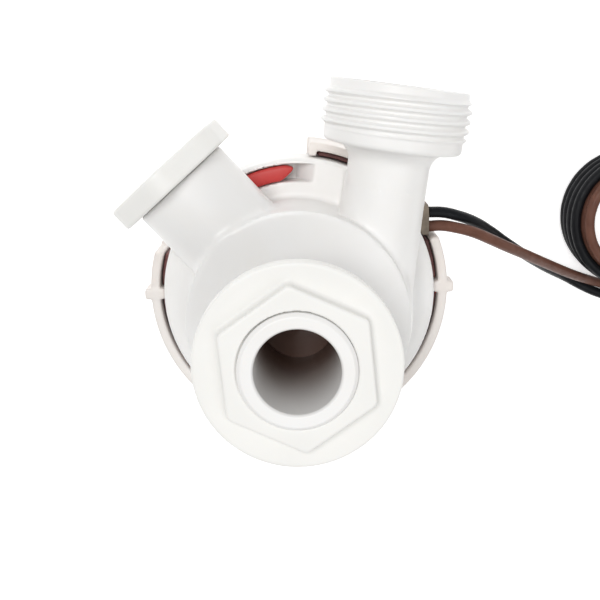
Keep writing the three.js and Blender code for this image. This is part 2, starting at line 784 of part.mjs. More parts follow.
const housingGroup = assembly(
  piece("pump_housing", housing(), WHITE_PLASTIC),
  piece("intake_tube", intakeTube(), WHITE_PLASTIC),
  piece("outlet_tube", outletTube().applyMatrix4(portFrame(OUTLET_DIRECTION, OUTLET_OFFSET)), WHITE_PLASTIC),
  piece("intake_nut", intakeNut(), CREAM_PLASTIC),
  piece("hull_washer", hullWasher(), BLACK_RUBBER),
  piece("release_latch", releaseLatch(), RED_PLASTIC),
  plugGroup,
);

const springB = piece("brush_spring_b", brushSpring(), STEEL);
springB.rotation.z = Math.PI;
const brush = () => block([5.35, 10.3], [-1.7, 1.7], [BRUSH_Z - 1.7, BRUSH_Z + 1.7]);
const brushB = piece("brush_b", brush(), CARBON);
brushB.rotation.z = Math.PI;
const magnet = (from) => sector(15.2, 17, from, from + 124, 19, 46);

const motorGroup = assembly(
  piece("motor_cover", motorCover(), WHITE_PLASTIC),
  ...SCREW_ANGLES.map((angle, i) => piece(`cover_screw_${i + 1}`, coverScrew(angle), ZINC)),
  piece("motor_can", motorCan(), ZINC),
  piece("magnet_a", magnet(28), FERRITE),
  piece("magnet_b", magnet(208), FERRITE),
  piece("brush_cap", brushCap(), GREY_PLASTIC),
  piece("brush_a", brush(), CARBON),
  brushB,
  piece("brush_spring_a", brushSpring(), STEEL),
  springB,
  piece("front_bush", ring(SHAFT_BORE_R, 4.2, 52.9, 55.5, NARROW), BRONZE),
  piece("rear_bush", ring(SHAFT_BORE_R, 4.2, 6.5, 9.5, NARROW), BRONZE),
);

const cartridgeGroup = assembly(
  piece("cartridge_flange", cartridgeFlange(), BLUSH_PLASTIC),
  piece("cartridge_plate", cartridgePlate(), GREY_PLASTIC),
  piece("cartridge_o_ring", rubberRing(35.2, 48, 0.9), BLACK_RUBBER),
  piece("collar_gasket", collarGasket(), BROWN_RUBBER),
  piece("shaft_seal", ring(SHAFT_BORE_R, 6.5, 58.5, 60.6, NARROW), BLACK_RUBBER),
  piece("lead_gland", leadGland(), OLIVE_RUBBER),
);

const tipOf = (tail) => {
  const [before, last] = tail.slice(-2);
  return bareTip(last, [last[0] - before[0], last[1] - before[1]]);
};

const leadGroup = assembly(
  piece("inner_black_lead", innerLead(1), BLACK_PVC),
  piece("inner_brown_lead", innerLead(-1), BROWN_PVC),
  outerLead("black_lead", BLACK_ROUTE, 22, BLACK_PVC),
  outerLead("brown_lead", BROWN_ROUTE, 18, BROWN_PVC),
  coil("black_lead_coil", BLACK_COIL_R, BLACK_COIL_TOP_Z, BLACK_PVC),
  coil("brown_lead_coil", BROWN_COIL_R, BROWN_COIL_TOP_Z, BROWN_PVC),
  outerLead("black_lead_tail", BLACK_TAIL, 7, BLACK_PVC),
  outerLead("brown_lead_tail", BROWN_TAIL, 7, BROWN_PVC),
  piece("black_lead_tip", tipOf(BLACK_TAIL), COPPER),
  piece("brown_lead_tip", tipOf(BROWN_TAIL), COPPER),
);

export default assembly(housingGroup, rotor, motorGroup, cartridgeGroup, leadGroup);
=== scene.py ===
"""The looks of a cartridge circulation pump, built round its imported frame.

Lengths are millimetres until a mesh is made, in the frame's own axes, with +Z up the pump's axis to the
intake's tip. Moulded pieces are smooth solids taken from distance fields, the housing's two threaded ends and
the washer are turned profiles, and the two leads are curves.
"""
import json
import math

import bpy
import numpy as np
from mathutils import Matrix, Vector


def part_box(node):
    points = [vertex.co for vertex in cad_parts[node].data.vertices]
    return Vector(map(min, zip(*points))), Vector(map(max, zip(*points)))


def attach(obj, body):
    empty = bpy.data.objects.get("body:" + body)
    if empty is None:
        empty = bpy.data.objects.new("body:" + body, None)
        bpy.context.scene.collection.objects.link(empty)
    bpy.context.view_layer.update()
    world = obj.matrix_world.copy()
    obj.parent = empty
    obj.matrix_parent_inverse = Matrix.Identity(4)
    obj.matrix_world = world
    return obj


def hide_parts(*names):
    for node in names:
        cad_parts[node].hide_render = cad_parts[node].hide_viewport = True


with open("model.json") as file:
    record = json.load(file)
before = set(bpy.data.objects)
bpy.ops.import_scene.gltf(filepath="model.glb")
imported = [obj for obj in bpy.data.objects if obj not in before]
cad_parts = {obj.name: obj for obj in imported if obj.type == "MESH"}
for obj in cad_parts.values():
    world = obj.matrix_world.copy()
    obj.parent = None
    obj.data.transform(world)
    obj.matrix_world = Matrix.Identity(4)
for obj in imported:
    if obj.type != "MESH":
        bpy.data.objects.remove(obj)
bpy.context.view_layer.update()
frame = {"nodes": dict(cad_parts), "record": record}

MM = 0.001
DEG = math.pi / 180


def node_box(name):
    """A CAD node's lowest and highest corners in millimetres."""
    return [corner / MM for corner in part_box(name)]


def shown(name, data):
    """A new object in the scene."""
    made = bpy.data.objects.new(name, data)
    bpy.context.scene.collection.objects.link(made)
    return made


# ---- Sizes, from the frame where it holds them ----
BODY_LOW, BODY_HIGH = node_box("pump_housing")
TUBE_HIGH = node_box("intake_tube")[1]
NUT_LOW, NUT_HIGH = node_box("intake_nut")
WASHER_LOW, WASHER_HIGH = node_box("hull_washer")
LATCH_LOW, LATCH_HIGH = node_box("release_latch")
COVER_LOW, COVER_HIGH = node_box("motor_cover")
FLANGE_LOW, FLANGE_HIGH = node_box("cartridge_flange")
IMPELLER_LOW, IMPELLER_HIGH = node_box("impeller")
GLAND_LOW, GLAND_HIGH = node_box("lead_gland")

TIP_Z = TUBE_HIGH.z
SHOULDER_Z = 85.0
SKIRT_END_Z = BODY_LOW.z
NOSE_R = 13.1
DISC_R = TUBE_HIGH.x
NOSE_BORE_R = 9.15
TIP_BORE_R = 9.5
RIM_Z = 57.3
DRUM_R = 38.8
SKIRT_R = 36.3
ROOF_Z = 50.3
PORT_Z = 70.5
OUTLET = (82.5, 18.7)  # direction in degrees, offset from the pump's axis
OUTLET_REACH = 62.6
OUTLET_NECK_R = 10.8
OUTLET_BORE_R = 8.3
OUTLET_END_R = 18.3
OUTLET_PITCH = 2.55
PLUGGED = (132.5, 0)
PLUG_NECK_R = 14
PLUG_NECK_END = 46.3
LATCH_IN_R, LATCH_OUT_R = 32.7, 37.0
LATCH_TIP, LATCH_ROOT = 92, 121.2  # directions in degrees
HINGE_ANGLE, HINGE_Z = 119.5, 55.5
VOLUTE_TOP_Z = 80.8
CHAMBER_TOP_Z = 81.8
COLLAR_IN_R, COLLAR_OUT_R = 40.7, 43.4
COLLAR_LOW_Z, COLLAR_TOP_Z = 39, 52.8
GASKET_OUT_R = 40.4
GASKET_TOP_Z = 50.2
BRACKET_END = 85.8  # degrees
COVER_R = 26.9
COVER_FLOOR_Z = 2.6
IMPELLER_R = 20
NOSE_PITCH = 1.814
THREAD_DEPTH = 0.9
DUCT_DIRECTION = 28.8
SCREW_RING_R = 30
SCREW_ANGLES = (75, 195, 315)
LUG_STARTS = (20, 140, 260)
LEAD_R = 1.65


# ---- Camera ----
def make_camera():
    """The view down the pump's axis, with part of its rise taken by the lens shift."""
    data = bpy.data.cameras.new("camera")
    data.sensor_width = 36
    data.lens = 50.03
    data.shift_x = 0.0042
    data.shift_y = -0.2
    data.clip_start, data.clip_end = 0.01, 20
    camera = shown("camera", data)
    pitch, yaw, roll = 8.011 * DEG, -0.399 * DEG, -0.187 * DEG
    ahead = Vector((math.sin(yaw) * math.cos(pitch), -math.sin(pitch), -math.cos(pitch) * math.cos(yaw)))
    up = (Vector((0, 1, 0)) - ahead * ahead.y).normalized()
    right = ahead.cross(up)
    axes = Matrix((right, up, -ahead)).transposed() @ Matrix.Rotation(roll, 3, "Z")
    camera.matrix_world = Matrix.Translation(Vector((1.35, 65.41, 289.71)) * MM) @ axes.to_4x4()
    bpy.context.scene.camera = camera


make_camera()


# ---- Materials ----
def shader(name, colour, roughness, metallic=0.0):
    material = bpy.data.materials.new(name)
    material.use_nodes = True
    surface = material.node_tree.nodes["Principled BSDF"]
    surface.inputs["Base Color"].default_value = (*colour, 1)
    surface.inputs["Roughness"].default_value = roughness
    surface.inputs["Metallic"].default_value = metallic
    return material, material.node_tree, surface


def object_point(tree, stretch=(1, 1, 1)):
    """Object coordinates, in metres."""
    place = tree.nodes.new("ShaderNodeTexCoord")
    scaled = tree.nodes.new("ShaderNodeMapping")
    scaled.inputs["Scale"].default_value = stretch
    tree.links.new(place.outputs["Object"], scaled.inputs["Vector"])
    return scaled.outputs["Vector"]


def noise(tree, point, scale, detail=4.0, distortion=0.0):
    node = tree.nodes.new("ShaderNodeTexNoise")
    node.inputs["Scale"].default_value = scale
    node.inputs["Detail"].default_value = detail
    node.inputs["Distortion"].default_value = distortion
    tree.links.new(point, node.inputs["Vector"])
    return node.outputs["Fac"]


def ramp(tree, factor, stops):
    node = tree.nodes.new("ShaderNodeValToRGB")
    while len(node.color_ramp.elements) < len(stops):
        node.color_ramp.elements.new(0.5)
    for element, (position, colour) in zip(node.color_ramp.elements, stops):
        element.position = position
        element.color = (*colour, 1)
    tree.links.new(factor, node.inputs["Fac"])
    return node.outputs["Color"]


def bump(tree, surface, height, strength, distance_mm):
    node = tree.nodes.new("ShaderNodeBump")
    node.inputs["Strength"].default_value = strength
    node.inputs["Distance"].default_value = distance_mm * MM
    tree.links.new(height, node.inputs["Height"])
    tree.links.new(node.outputs["Normal"], surface.inputs["Normal"])


def tinted(colour, factor):
    return tuple(min(1.0, c * factor) for c in colour)


def grey(level):
    return (level, level, level)


def moulded(name, colour, roughness, grain=0.35, mottle=0.035, warm=None, scatter=0.0):
    """Injection-moulded plastic: faint flow mottling, slightly uneven gloss and a fine spark-eroded grain."""
    material, tree, surface = shader(name, colour, roughness)
    point = object_point(tree)
    flow = noise(tree, point, 42, 5, 0.8)
    dark = tinted(warm or colour, 1 - mottle)
    light = tinted(colour, 1 + mottle * 0.6)
    tree.links.new(ramp(tree, flow, [(0.3, dark), (0.7, light)]), surface.inputs["Base Color"])
    gloss = noise(tree, point, 160, 6)
    shades = [(0.3, grey(roughness - 0.06)), (0.7, grey(roughness + 0.08))]
    tree.links.new(ramp(tree, gloss, shades), surface.inputs["Roughness"])
    bump(tree, surface, noise(tree, point, 2600, 3), grain, 0.02)
    if scatter:
        surface.inputs["Subsurface Weight"].default_value = scatter
        surface.inputs["Subsurface Radius"].default_value = (1.0, 0.85, 0.7)
        surface.inputs["Subsurface Scale"].default_value = 1.2 * MM
    return material


def painted_inner_shade(material, shade_colour):
    """Painted shade on a housing's inside: darkens the whole chamber, and the intake's bore from its foot
    outwards, in place of the shade and dark reflection that fall there.
    """
    tree = material.node_tree
    surface = tree.nodes["Principled BSDF"]
    parts = tree.nodes.new("ShaderNodeSeparateXYZ")
    tree.links.new(object_point(tree), parts.inputs["Vector"])
    flat = tree.nodes.new("ShaderNodeCombineXYZ")
    for axis in "XY":
        tree.links.new(parts.outputs[axis], flat.inputs[axis])
    length = tree.nodes.new("ShaderNodeVectorMath")
    length.operation = "LENGTH"
    tree.links.new(flat.outputs["Vector"], length.inputs[0])

    def step(value, start, end):
        node = tree.nodes.new("ShaderNodeMapRange")
        node.interpolation_type = "SMOOTHSTEP"
        node.inputs["From Min"].default_value = start * MM
        node.inputs["From Max"].default_value = end * MM
        tree.links.new(value, node.inputs["Value"])
        return node.outputs["Result"]

    def maths(operation, a, b):
        node = tree.nodes.new("ShaderNodeMath")
        node.operation = operation
        tree.links.new(a, node.inputs[0])
        tree.links.new(b, node.inputs[1])
        return node.outputs[0]

    def region(side, top, bottom):
        below_top = maths("MULTIPLY", step(length.outputs["Value"], *side), step(parts.outputs["Z"], *top))
        return maths("MULTIPLY", below_top, step(parts.outputs["Z"], *bottom))

    # Painted shade: both masks blend the base colour towards a dark brown, fully in the chamber and at the
    # bore's foot, fading out towards the intake's tip.
    chamber = region(side=(26.4, 26.0), top=(82.4, 82.0), bottom=(50.0, 50.4))
    bore = region(side=(10.3, 9.9), top=(121, 88), bottom=(80, 81))
    mix = tree.nodes.new("ShaderNodeMix")
    mix.data_type = "RGBA"
    tree.links.new(maths("MAXIMUM", chamber, bore), mix.inputs["Factor"])
    base = surface.inputs["Base Color"]
    colours = [socket for socket in mix.inputs if socket.type == "RGBA"]
    tree.links.new(base.links[0].from_socket, colours[0])
    colours[1].default_value = (*shade_colour, 1)
    tree.links.new(mix.outputs[2], base)
    return material


def rubber(name, colour):
    """Dull moulded rubber with a dusty bloom and a pitted skin."""
    material, tree, surface = shader(name, colour, 0.7)
    point = object_point(tree)
    bloom = noise(tree, point, 190, 7, 0.4)
    tones = [(0.35, tinted(colour, 0.75)), (0.65, tinted(colour, 1.45))]
    tree.links.new(ramp(tree, bloom, tones), surface.inputs["Base Color"])
    shades = [(0.3, grey(0.58)), (0.7, grey(0.82))]
    tree.links.new(ramp(tree, noise(tree, point, 420, 4), shades), surface.inputs["Roughness"])
    bump(tree, surface, noise(tree, point, 1500, 5), 0.5, 0.04)
    return material


def brushed(name, colour, roughness, stretch=(1, 1, 14), scale=300):
    """Metal with fine marks drawn out one way and a little tarnish."""
    material, tree, surface = shader(name, colour, roughness, 1.0)
    marks = noise(tree, object_point(tree, stretch), scale, 4)
    tarnish = noise(tree, object_point(tree), 110, 5)
    tones = [(0.3, tinted(colour, 0.72)), (0.7, tinted(colour, 1.1))]
    tree.links.new(ramp(tree, tarnish, tones), surface.inputs["Base Color"])
    shades = [(0.3, grey(roughness * 0.7)), (0.7, grey(roughness * 1.35))]
    tree.links.new(ramp(tree, marks, shades), surface.inputs["Roughness"])
    bump(tree, surface, marks, 0.25, 0.02)
    return material


def sheathed(name, colour, dust):
    """Extruded vinyl lead insulation: satin, with long faint draw lines and handling dust."""
    material, tree, surface = shader(name, colour, 0.36)
    point = object_point(tree)
    wear = noise(tree, point, 240, 6, 0.5)
    tones = [(0.36, colour), (0.62, tinted(colour, 1.22)), (0.74, dust)]
    tree.links.new(ramp(tree, wear, tones), surface.inputs["Base Color"])
    shades = [(0.3, grey(0.3)), (0.7, grey(0.48))]
    tree.links.new(ramp(tree, noise(tree, point, 700, 3), shades), surface.inputs["Roughness"])
    bump(tree, surface, noise(tree, point, 900, 4), 0.22, 0.03)
    surface.inputs["Specular IOR Level"].default_value = 0.13
    return material


def laminated(name, colour):
    """Stacked steel sheets: fine lines across the axis."""
    material, tree, surface = shader(name, colour, 0.45, 1.0)
    wave = tree.nodes.new("ShaderNodeTexWave")
    wave.bands_direction = "Z"
    wave.inputs["Scale"].default_value = 320
    wave.inputs["Distortion"].default_value = 0.4
    tree.links.new(object_point(tree), wave.inputs["Vector"])
    tones = [(0.3, tinted(colour, 0.45)), (0.6, colour)]
    tree.links.new(ramp(tree, wave.outputs["Fac"], tones), surface.inputs["Base Color"])
    bump(tree, surface, wave.outputs["Fac"], 0.5, 0.05)
    return material


MATERIALS = {
    # The white housing carries painted shade inside its chamber and its intake bore.
    "housing_white": painted_inner_shade(
        moulded("white plastic", (0.87, 0.865, 0.855), 0.36, 0.3, 0.018, (0.87, 0.857, 0.835), 0.06),
        shade_colour=(0.13, 0.068, 0.048),
    ),
    "fitting_cream": moulded("cream white plastic", (0.86, 0.853, 0.825), 0.42, 0.4, 0.02, None, 0.06),
    "collar_blush": moulded(
        "blush white plastic", (0.83, 0.80, 0.77), 0.4, 0.4, 0.035, (0.83, 0.765, 0.72), 0.05
    ),
    "latch_red": moulded("red plastic", (0.53, 0.036, 0.032), 0.5, 0.3, 0.09, None, 0.03),
    # Near-black: partly the impeller's own dark plastic, partly painted shade for the dark floor of the
    # intake's bore.
    "inner_grey": moulded("inner plastic with painted shade", (0.022, 0.016, 0.013), 0.5, 0.5, 0.2),
    "gasket_brown": rubber("brown rubber", (0.125, 0.05, 0.047)),
    "black_rubber": rubber("black rubber", (0.018, 0.018, 0.02)),
    "gland_olive": rubber("olive rubber", (0.19, 0.155, 0.12)),
    "steel": brushed("ground steel", (0.56, 0.57, 0.58), 0.24),
    "zinc": brushed("zinc plate", (0.48, 0.50, 0.51), 0.34, (1, 1, 3), 500),
    "ferrite": rubber("ferrite", (0.05, 0.05, 0.056)),
    "lamination": laminated("lamination steel", (0.36, 0.37, 0.39)),
    "copper": brushed("enamelled copper", (0.66, 0.26, 0.12), 0.3, (1, 1, 1), 900),
    "bronze": brushed("sintered bronze", (0.48, 0.31, 0.13), 0.45, (1, 1, 1), 1400),
    "carbon": rubber("carbon", (0.03, 0.03, 0.032)),
    "lead_black": sheathed("black vinyl", (0.0075, 0.008, 0.0095), (0.017, 0.018, 0.02)),
    "lead_brown": sheathed("brown vinyl", (0.125, 0.057, 0.04), (0.165, 0.09, 0.066)),
}


# ---- Mesh helpers ----
def link(name, data, body, slot):
    """A new piece with its slot's material, riding on its body."""
    made = shown(name, data)
    data.materials.clear()
    data.materials.append(MATERIALS[slot])
    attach(made, body)
    return made


def mesh_of(name, points, quads):
    """A mesh of quads from millimetre points."""
    mesh = bpy.data.meshes.new(name)
    mesh.vertices.add(len(points))
    mesh.vertices.foreach_set("co", (np.asarray(points, float) * MM).astype(np.float32).ravel())
    quads = np.asarray(quads, np.int32)
    mesh.loops.add(quads.size)
    mesh.loops.foreach_set("vertex_index", quads.ravel())
    mesh.polygons.add(len(quads))
    mesh.polygons.foreach_set("loop_start", np.arange(len(quads), dtype=np.int32) * 4)
    mesh.update()
    mesh.validate()
    mesh.shade_smooth()
    return mesh


def turned(name, profile, segments, thread=None):
    """A ring-shaped solid turned about Z from a closed (r, z) profile.

    thread(angle, r, z) gives each point's radius.
    """
    profile = np.asarray(profile, float)
    angles = 2 * math.pi * np.arange(segments) / segments
    radius = np.repeat(profile[None, :, 0], segments, 0)
    height = np.repeat(profile[None, :, 1], segments, 0)
    if thread:
        radius = thread(angles[:, None], radius, height)
    points = np.stack([radius * np.cos(angles)[:, None], radius * np.sin(angles)[:, None], height], -1)
    count = len(profile)
    a = np.arange(segments)[:, None] * count + np.arange(count)[None]
    b = (np.arange(segments)[:, None] + 1) % segments * count + np.arange(count)[None]
    quads = np.stack([a, b, np.roll(b, -1, 1), np.roll(a, -1, 1)], -1)
    return mesh_of(name, points.reshape(-1, 3), quads.reshape(-1, 4))


def rounded(corners, steps=4):
    """A closed profile from (r, z, fillet) corners, with each corner drawn as a short curve."""
    made = []
    points = [np.array(c[:2], float) for c in corners]
    for i, here in enumerate(points):
        before, after = points[i - 1], points[(i + 1) % len(points)]
        reach = corners[i][2] if len(corners[i]) > 2 else 0
        back, ahead = before - here, after - here
        lengths = np.linalg.norm(back), np.linalg.norm(ahead)
        if reach <= 0:
            made.append(here)
            continue
        start = here + back / lengths[0] * min(reach, 0.48 * lengths[0])
        end = here + ahead / lengths[1] * min(reach, 0.48 * lengths[1])
        for t in np.linspace(0, 1, steps + 1):
            made.append((1 - t) ** 2 * start + 2 * t * (1 - t) * here + t * t * end)
    return made


def closer(profile, step, low, high):
    """The profile with extra points every step where its z lies between low and high."""
    made = []
    for i, here in enumerate(profile):
        after = profile[(i + 1) % len(profile)]
        made.append(here)
        if low <= min(here[1], after[1]) and max(here[1], after[1]) <= high:
            count = int(abs(after[1] - here[1]) / step)
            made += [here + (after - here) * k / count for k in range(1, count)]
    return made


def combined(name, base, tools):
    """Joins meshes, and returns one mesh."""
    holder = shown(name, base)
    helpers = []
    for tool in tools:
        helper = shown(name + "_tool", tool)
        helpers.append(helper)
        change = holder.modifiers.new("combine", "BOOLEAN")
        change.operation = "UNION"
        change.solver = "MANIFOLD"
        change.object = helper
    bpy.context.view_layer.update()
    made = bpy.data.meshes.new_from_object(holder.evaluated_get(bpy.context.evaluated_depsgraph_get()))
    for helper in [holder, *helpers]:
        bpy.data.objects.remove(helper)
    made.name = name
    return made


def crisp(made, degrees=38):
    """Sharp edges above an angle, and normals that keep flat faces flat."""
    made.data.set_sharp_from_angle(angle=degrees * DEG)
    weighted = made.modifiers.new("weighted", "WEIGHTED_NORMAL")
    weighted.keep_sharp = True


# ---- Distance fields ----
def smooth(t):
    """An even ramp from 0 to 1 that starts and ends level."""
    return t * t * (3 - 2 * t)


def thread_share(angle, z, pitch):
    """A right-hand thread's wave: 1 and 0 half a pitch apart."""
    return np.abs(((z / pitch - angle / (2 * math.pi)) % 1) - 0.5) * 2


def soft_min(a, b, k):
    h = np.maximum(k - np.abs(a - b), 0)
    return np.minimum(a, b) - h * h / (4 * np.maximum(k, 1e-9))


def soft_max(a, b, k):
    return -soft_min(-a, -b, k)


def all_of(k, *fields):
    """Where every field is inside, with edges rounded by k."""
    made = fields[0]
    for other in fields[1:]:
        made = soft_max(made, other, k)
    return made


def any_of(k, *fields):
    made = fields[0]
    for other in fields[1:]:
        made = soft_min(made, other, k)
    return made


def between(value, low, high):
    return np.maximum(low - value, value - high)


def radius_of(p):
    return np.hypot(p[:, 0], p[:, 1])


def angle_of(p, middle=0.0):
    """Degrees about Z, counted from a middle direction, from -180 to 180."""
    return (np.degrees(np.arctan2(p[:, 1], p[:, 0])) - middle + 180) % 360 - 180


def arc_between(p, start, end):
    """Distance along the arc out of the span of degrees from start to end."""
    away = np.abs(angle_of(p, (start + end) / 2)) - (end - start) / 2
    return away * DEG * np.maximum(radius_of(p), 1)


def ring_field(p, inner, outer, low, high, k=0.6):
    return all_of(k, between(radius_of(p), inner, outer), between(p[:, 2], low, high))


def sector_field(p, inner, outer, start, end, low, high, k=0.6):
    return all_of(k, ring_field(p, inner, outer, low, high, k), arc_between(p, start, end))


def disc_field(p, outer, low, high, k=0.6):
    return all_of(k, radius_of(p) - outer, between(p[:, 2], low, high))


def turned_points(p, degrees):
    """The points seen from axes turned about Z by some degrees."""
    c, s = math.cos(degrees * DEG), math.sin(degrees * DEG)
    return np.stack([p[:, 0] * c + p[:, 1] * s, p[:, 1] * c - p[:, 0] * s, p[:, 2]], -1)


def box_field(p, x, y, z, k=0.6):
    return all_of(k, between(p[:, 0], *x), between(p[:, 1], *y), between(p[:, 2], *z))


def port_points(p, port):
    """Points in an outlet's own axes: across, up from its axis, and out along it."""
    direction, offset = port
    c, s = math.cos(direction * DEG), math.sin(direction * DEG)
    return np.stack([p[:, 1] * c - p[:, 0] * s + offset, p[:, 2] - PORT_Z, p[:, 0] * c + p[:, 1] * s], -1)


def port_matrix(port):
    """Places a mesh made along Z on an outlet's own axis."""
    direction, offset = port
    c, s = math.cos(direction * DEG), math.sin(direction * DEG)
    rows = ((-s, 0, c, offset * s * MM), (c, 0, s, -offset * c * MM), (0, 1, 0, PORT_Z * MM), (0, 0, 0, 1))
    return Matrix(rows)


CORNERS = np.array([[i & 1, i >> 1 & 1, i >> 2 & 1] for i in range(8)])
EDGES = [(a, b) for a in range(8) for b in range(a + 1, 8) if bin(a ^ b).count("1") == 1]


def carved(name, field, low, high, cell):
    """A closed mesh of quads where a distance field is zero, each vertex settled onto the field's surface."""
    cell = cell * 1
    axes = [np.arange(a - cell, b + 2 * cell, cell) for a, b in zip(low, high)]
    shape = tuple(len(a) for a in axes)
    value = np.empty(shape)
    plane = np.stack(np.meshgrid(axes[1], axes[2], indexing="ij"), -1).reshape(-1, 2)
    for i, x in enumerate(axes[0]):
        value[i] = field(np.column_stack([np.full(len(plane), x), plane])).reshape(shape[1:])
    inside = value < 0
    blocks = [inside[a:shape[0] - 1 + a, b:shape[1] - 1 + b, c:shape[2] - 1 + c] for a, b, c in CORNERS]
    count = sum(block.astype(np.int8) for block in blocks)
    cells = np.argwhere((count > 0) & (count < 8))
    at = [value[tuple((cells + corner).T)] for corner in CORNERS]
    total = np.zeros((len(cells), 3))
    crossings = np.zeros(len(cells))
    for a, b in EDGES:
        crossed = (at[a] < 0) != (at[b] < 0)
        share = np.where(crossed, at[a] / np.where(crossed, at[a] - at[b], 1), 0)[:, None]
        total += np.where(crossed[:, None], CORNERS[a] + share * (CORNERS[b] - CORNERS[a]), 0)
        crossings += crossed
    points = (cells + total / crossings[:, None]) * cell + np.array([a[0] for a in axes])
    index = np.full(tuple(n - 1 for n in shape), -1, np.int32)
    index[tuple(cells.T)] = np.arange(len(cells))
    quads = []
    for axis in range(3):
        step = np.eye(3, dtype=int)[axis]
        u, v = np.eye(3, dtype=int)[(axis + 1) % 3], np.eye(3, dtype=int)[(axis + 2) % 3]
        start = inside[tuple(slice(0, n - s) for n, s in zip(shape, step))]
        end = inside[tuple(slice(s, n) for n, s in zip(shape, step))]
        edges = np.argwhere(start != end)
        leaving = start[tuple(edges.T)]
        ring = [index[tuple((edges - shift).T)] for shift in (0 * u, u, u + v, v)]
        faces = np.stack(ring, -1)
        quads.append(np.where(leaving[:, None], faces, faces[:, ::-1]))
    return mesh_of(name, settled(points, field, cell), np.concatenate(quads))


def settled(points, field, cell):
    """The points moved onto the field's zero surface by a few Newton steps."""
    reach = 0.02
    for _ in range(3):
        here = field(points)
        slope = np.stack([(field(points + reach * axis) - here) / reach for axis in np.eye(3)], -1)
        step = slope * (here / np.maximum((slope**2).sum(1), 0.05))[:, None]
        length = np.linalg.norm(step, axis=1, keepdims=True)
        points = points - step * np.minimum(1, 0.4 * cell / np.maximum(length, 1e-9))
    return points


def carved_piece(name, field, box, body, slot, cell):
    """A piece carved from its field inside a box's two corners."""
    return link(name, carved(name, field, *box, cell), body, slot)


# ---- Leads ----
BLACK_ROUTE = [
    (38.35, 21.7, 47.5), (42.2, 21.6, 47.2), (47.2, 20.3, 45.8), (52.7, 17.9, 42.4), (58.7, 14, 36.7),
    (65.3, 9, 29.6), (72.3, 3.9, 22), (79.6, -1.2, 14.3), (86.9, -5.8, 7.5), (93.8, -9.6, 3),
    (100.2, -13.2, 1.8), (105.4, -15.5, 1.8), (110.5, -16.9, 1.8), (116, -16.9, 1.8), (121.5, -14.7, 1.8),
    (126.6, -10.8, 1.8), (131.1, -5.9, 1.8), (134.2, 0.5, 1.9), (135.3, 6.5, 2),
]
BROWN_ROUTE = [
    (38.35, 17.5, 47.5), (42.1, 17.7, 47.6), (46.9, 16.9, 47.4), (51.9, 15.4, 46.4), (57.2, 12.9, 44.1),
    (62.9, 9.9, 40.4), (69.1, 6.6, 35), (75.8, 2.9, 28.5), (82.9, -1, 21.5), (90.2, -4.9, 14.7),
    (96.6, -8.1, 8.6), (100.8, -10, 4.8), (104.6, -11.5, 2.6), (108.6, -12.8, 1.8), (114, -13.4, 1.8),
    (119.5, -12, 1.8), (124.6, -8.6, 1.8), (128.7, -3.8, 1.8), (131.2, 1.6, 1.9), (132.1, 7, 2),
]
BLACK_TAIL = [
    (135.7, 17, 15.5), (136, 21, 13.9), (136.9, 25.5, 10.6), (138.3, 31.5, 6.6), (139.9, 37, 3.4),
    (141.2, 41.5, 2), (142.2, 46, 1.8),
]
BROWN_TAIL = [
    (132.2, 17, 18.9), (132.3, 21.5, 17.2), (132.5, 26, 14), (132.9, 30.4, 10.3), (133.8, 35, 6.4),
    (134.9, 39, 3.7), (136, 43, 2.2), (136.8, 47, 1.8),
]
COIL_CENTRE = (114, 12.5)
COIL_LOW_Z = 2.1
BLACK_COIL = (21.45, 4)  # radius and turns
BROWN_COIL = (18.15, 5)
TURN_RISE = 3.42
TURN_STEPS = 24
TIP_LENGTH = 7
TIE_DIRECTION = 80  # degrees round the coil


def coil_turns(radius, turns):
    """A lead's own stack of turns. Every turn humps a little where it passes over the leads coming in."""
    made = []
    for i in range(turns * TURN_STEPS + 1):
        angle = 360 * i / TURN_STEPS
        hump = 0.9 * math.exp(-(((angle % 360) - 318) / 26) ** 2) if angle > 180 else 0
        drift = 0.35 * math.sin(0.83 * angle * DEG) * min(1, angle / 90, (360 * turns - angle) / 90)
        reach = radius + drift
        x = COIL_CENTRE[0] + reach * math.cos(angle * DEG)
        y = COIL_CENTRE[1] + reach * math.sin(angle * DEG)
        made.append((x, y, COIL_LOW_Z + TURN_RISE * angle / 360 + hump))
    return made


def cord_curve(name, points, slot):
    curve = bpy.data.curves.new(name, "CURVE")
    curve.dimensions = "3D"
    curve.bevel_depth = LEAD_R * MM
    curve.bevel_resolution = 5
    curve.resolution_u = 6
    curve.use_fill_caps = True
    line = curve.splines.new("BEZIER")
    line.bezier_points.add(len(points) - 1)
    for knot, point in zip(line.bezier_points, points):
        knot.co = Vector(point) * MM
        knot.handle_left_type = knot.handle_right_type = "AUTO"
    return link(name, curve, "cartridge", slot)


def ring_quads(rings, sides, closed):
    """Quads between rings of points, and from the last ring to the first where closed."""
    quads = []
    for i in range(rings if closed else rings - 1):
        here, after = i * sides, (i + 1) % rings * sides
        for j in range(sides):
            k = (j + 1) % sides
            quads.append((here + j, here + k, after + k, after + j))
    return np.array(quads)


def tube_mesh(centres, radius, sides):
    """Points and quads of a tube along a line, in millimetres. Shrunken rings close its ends."""
    centres = np.asarray(centres, float)
    ahead = np.gradient(centres, axis=0)
    ahead /= np.linalg.norm(ahead, axis=1)[:, None]
    side = np.cross(ahead, [0.02, 0.03, 1.0])
    side /= np.linalg.norm(side, axis=1)[:, None]
    up = np.cross(side, ahead)
    angles = 2 * math.pi * np.arange(sides) / sides
    rings = []
    for centre, s, u in zip(centres, side, up):
        rings.append(centre + radius * (np.cos(angles)[:, None] * s + np.sin(angles)[:, None] * u))
    first, last = [centres[i] + (rings[i] - centres[i]) * 0.02 for i in (0, -1)]
    rings = [first, *rings, last]
    return np.concatenate(rings), ring_quads(len(rings), sides, closed=False)


def joined_mesh(name, parts):
    """One mesh from several (points, quads)."""
    points, quads, count = [], [], 0
    for p, q in parts:
        points.append(p)
        quads.append(q + count)
        count += len(p)
    return mesh_of(name, np.concatenate(points), np.concatenate(quads))


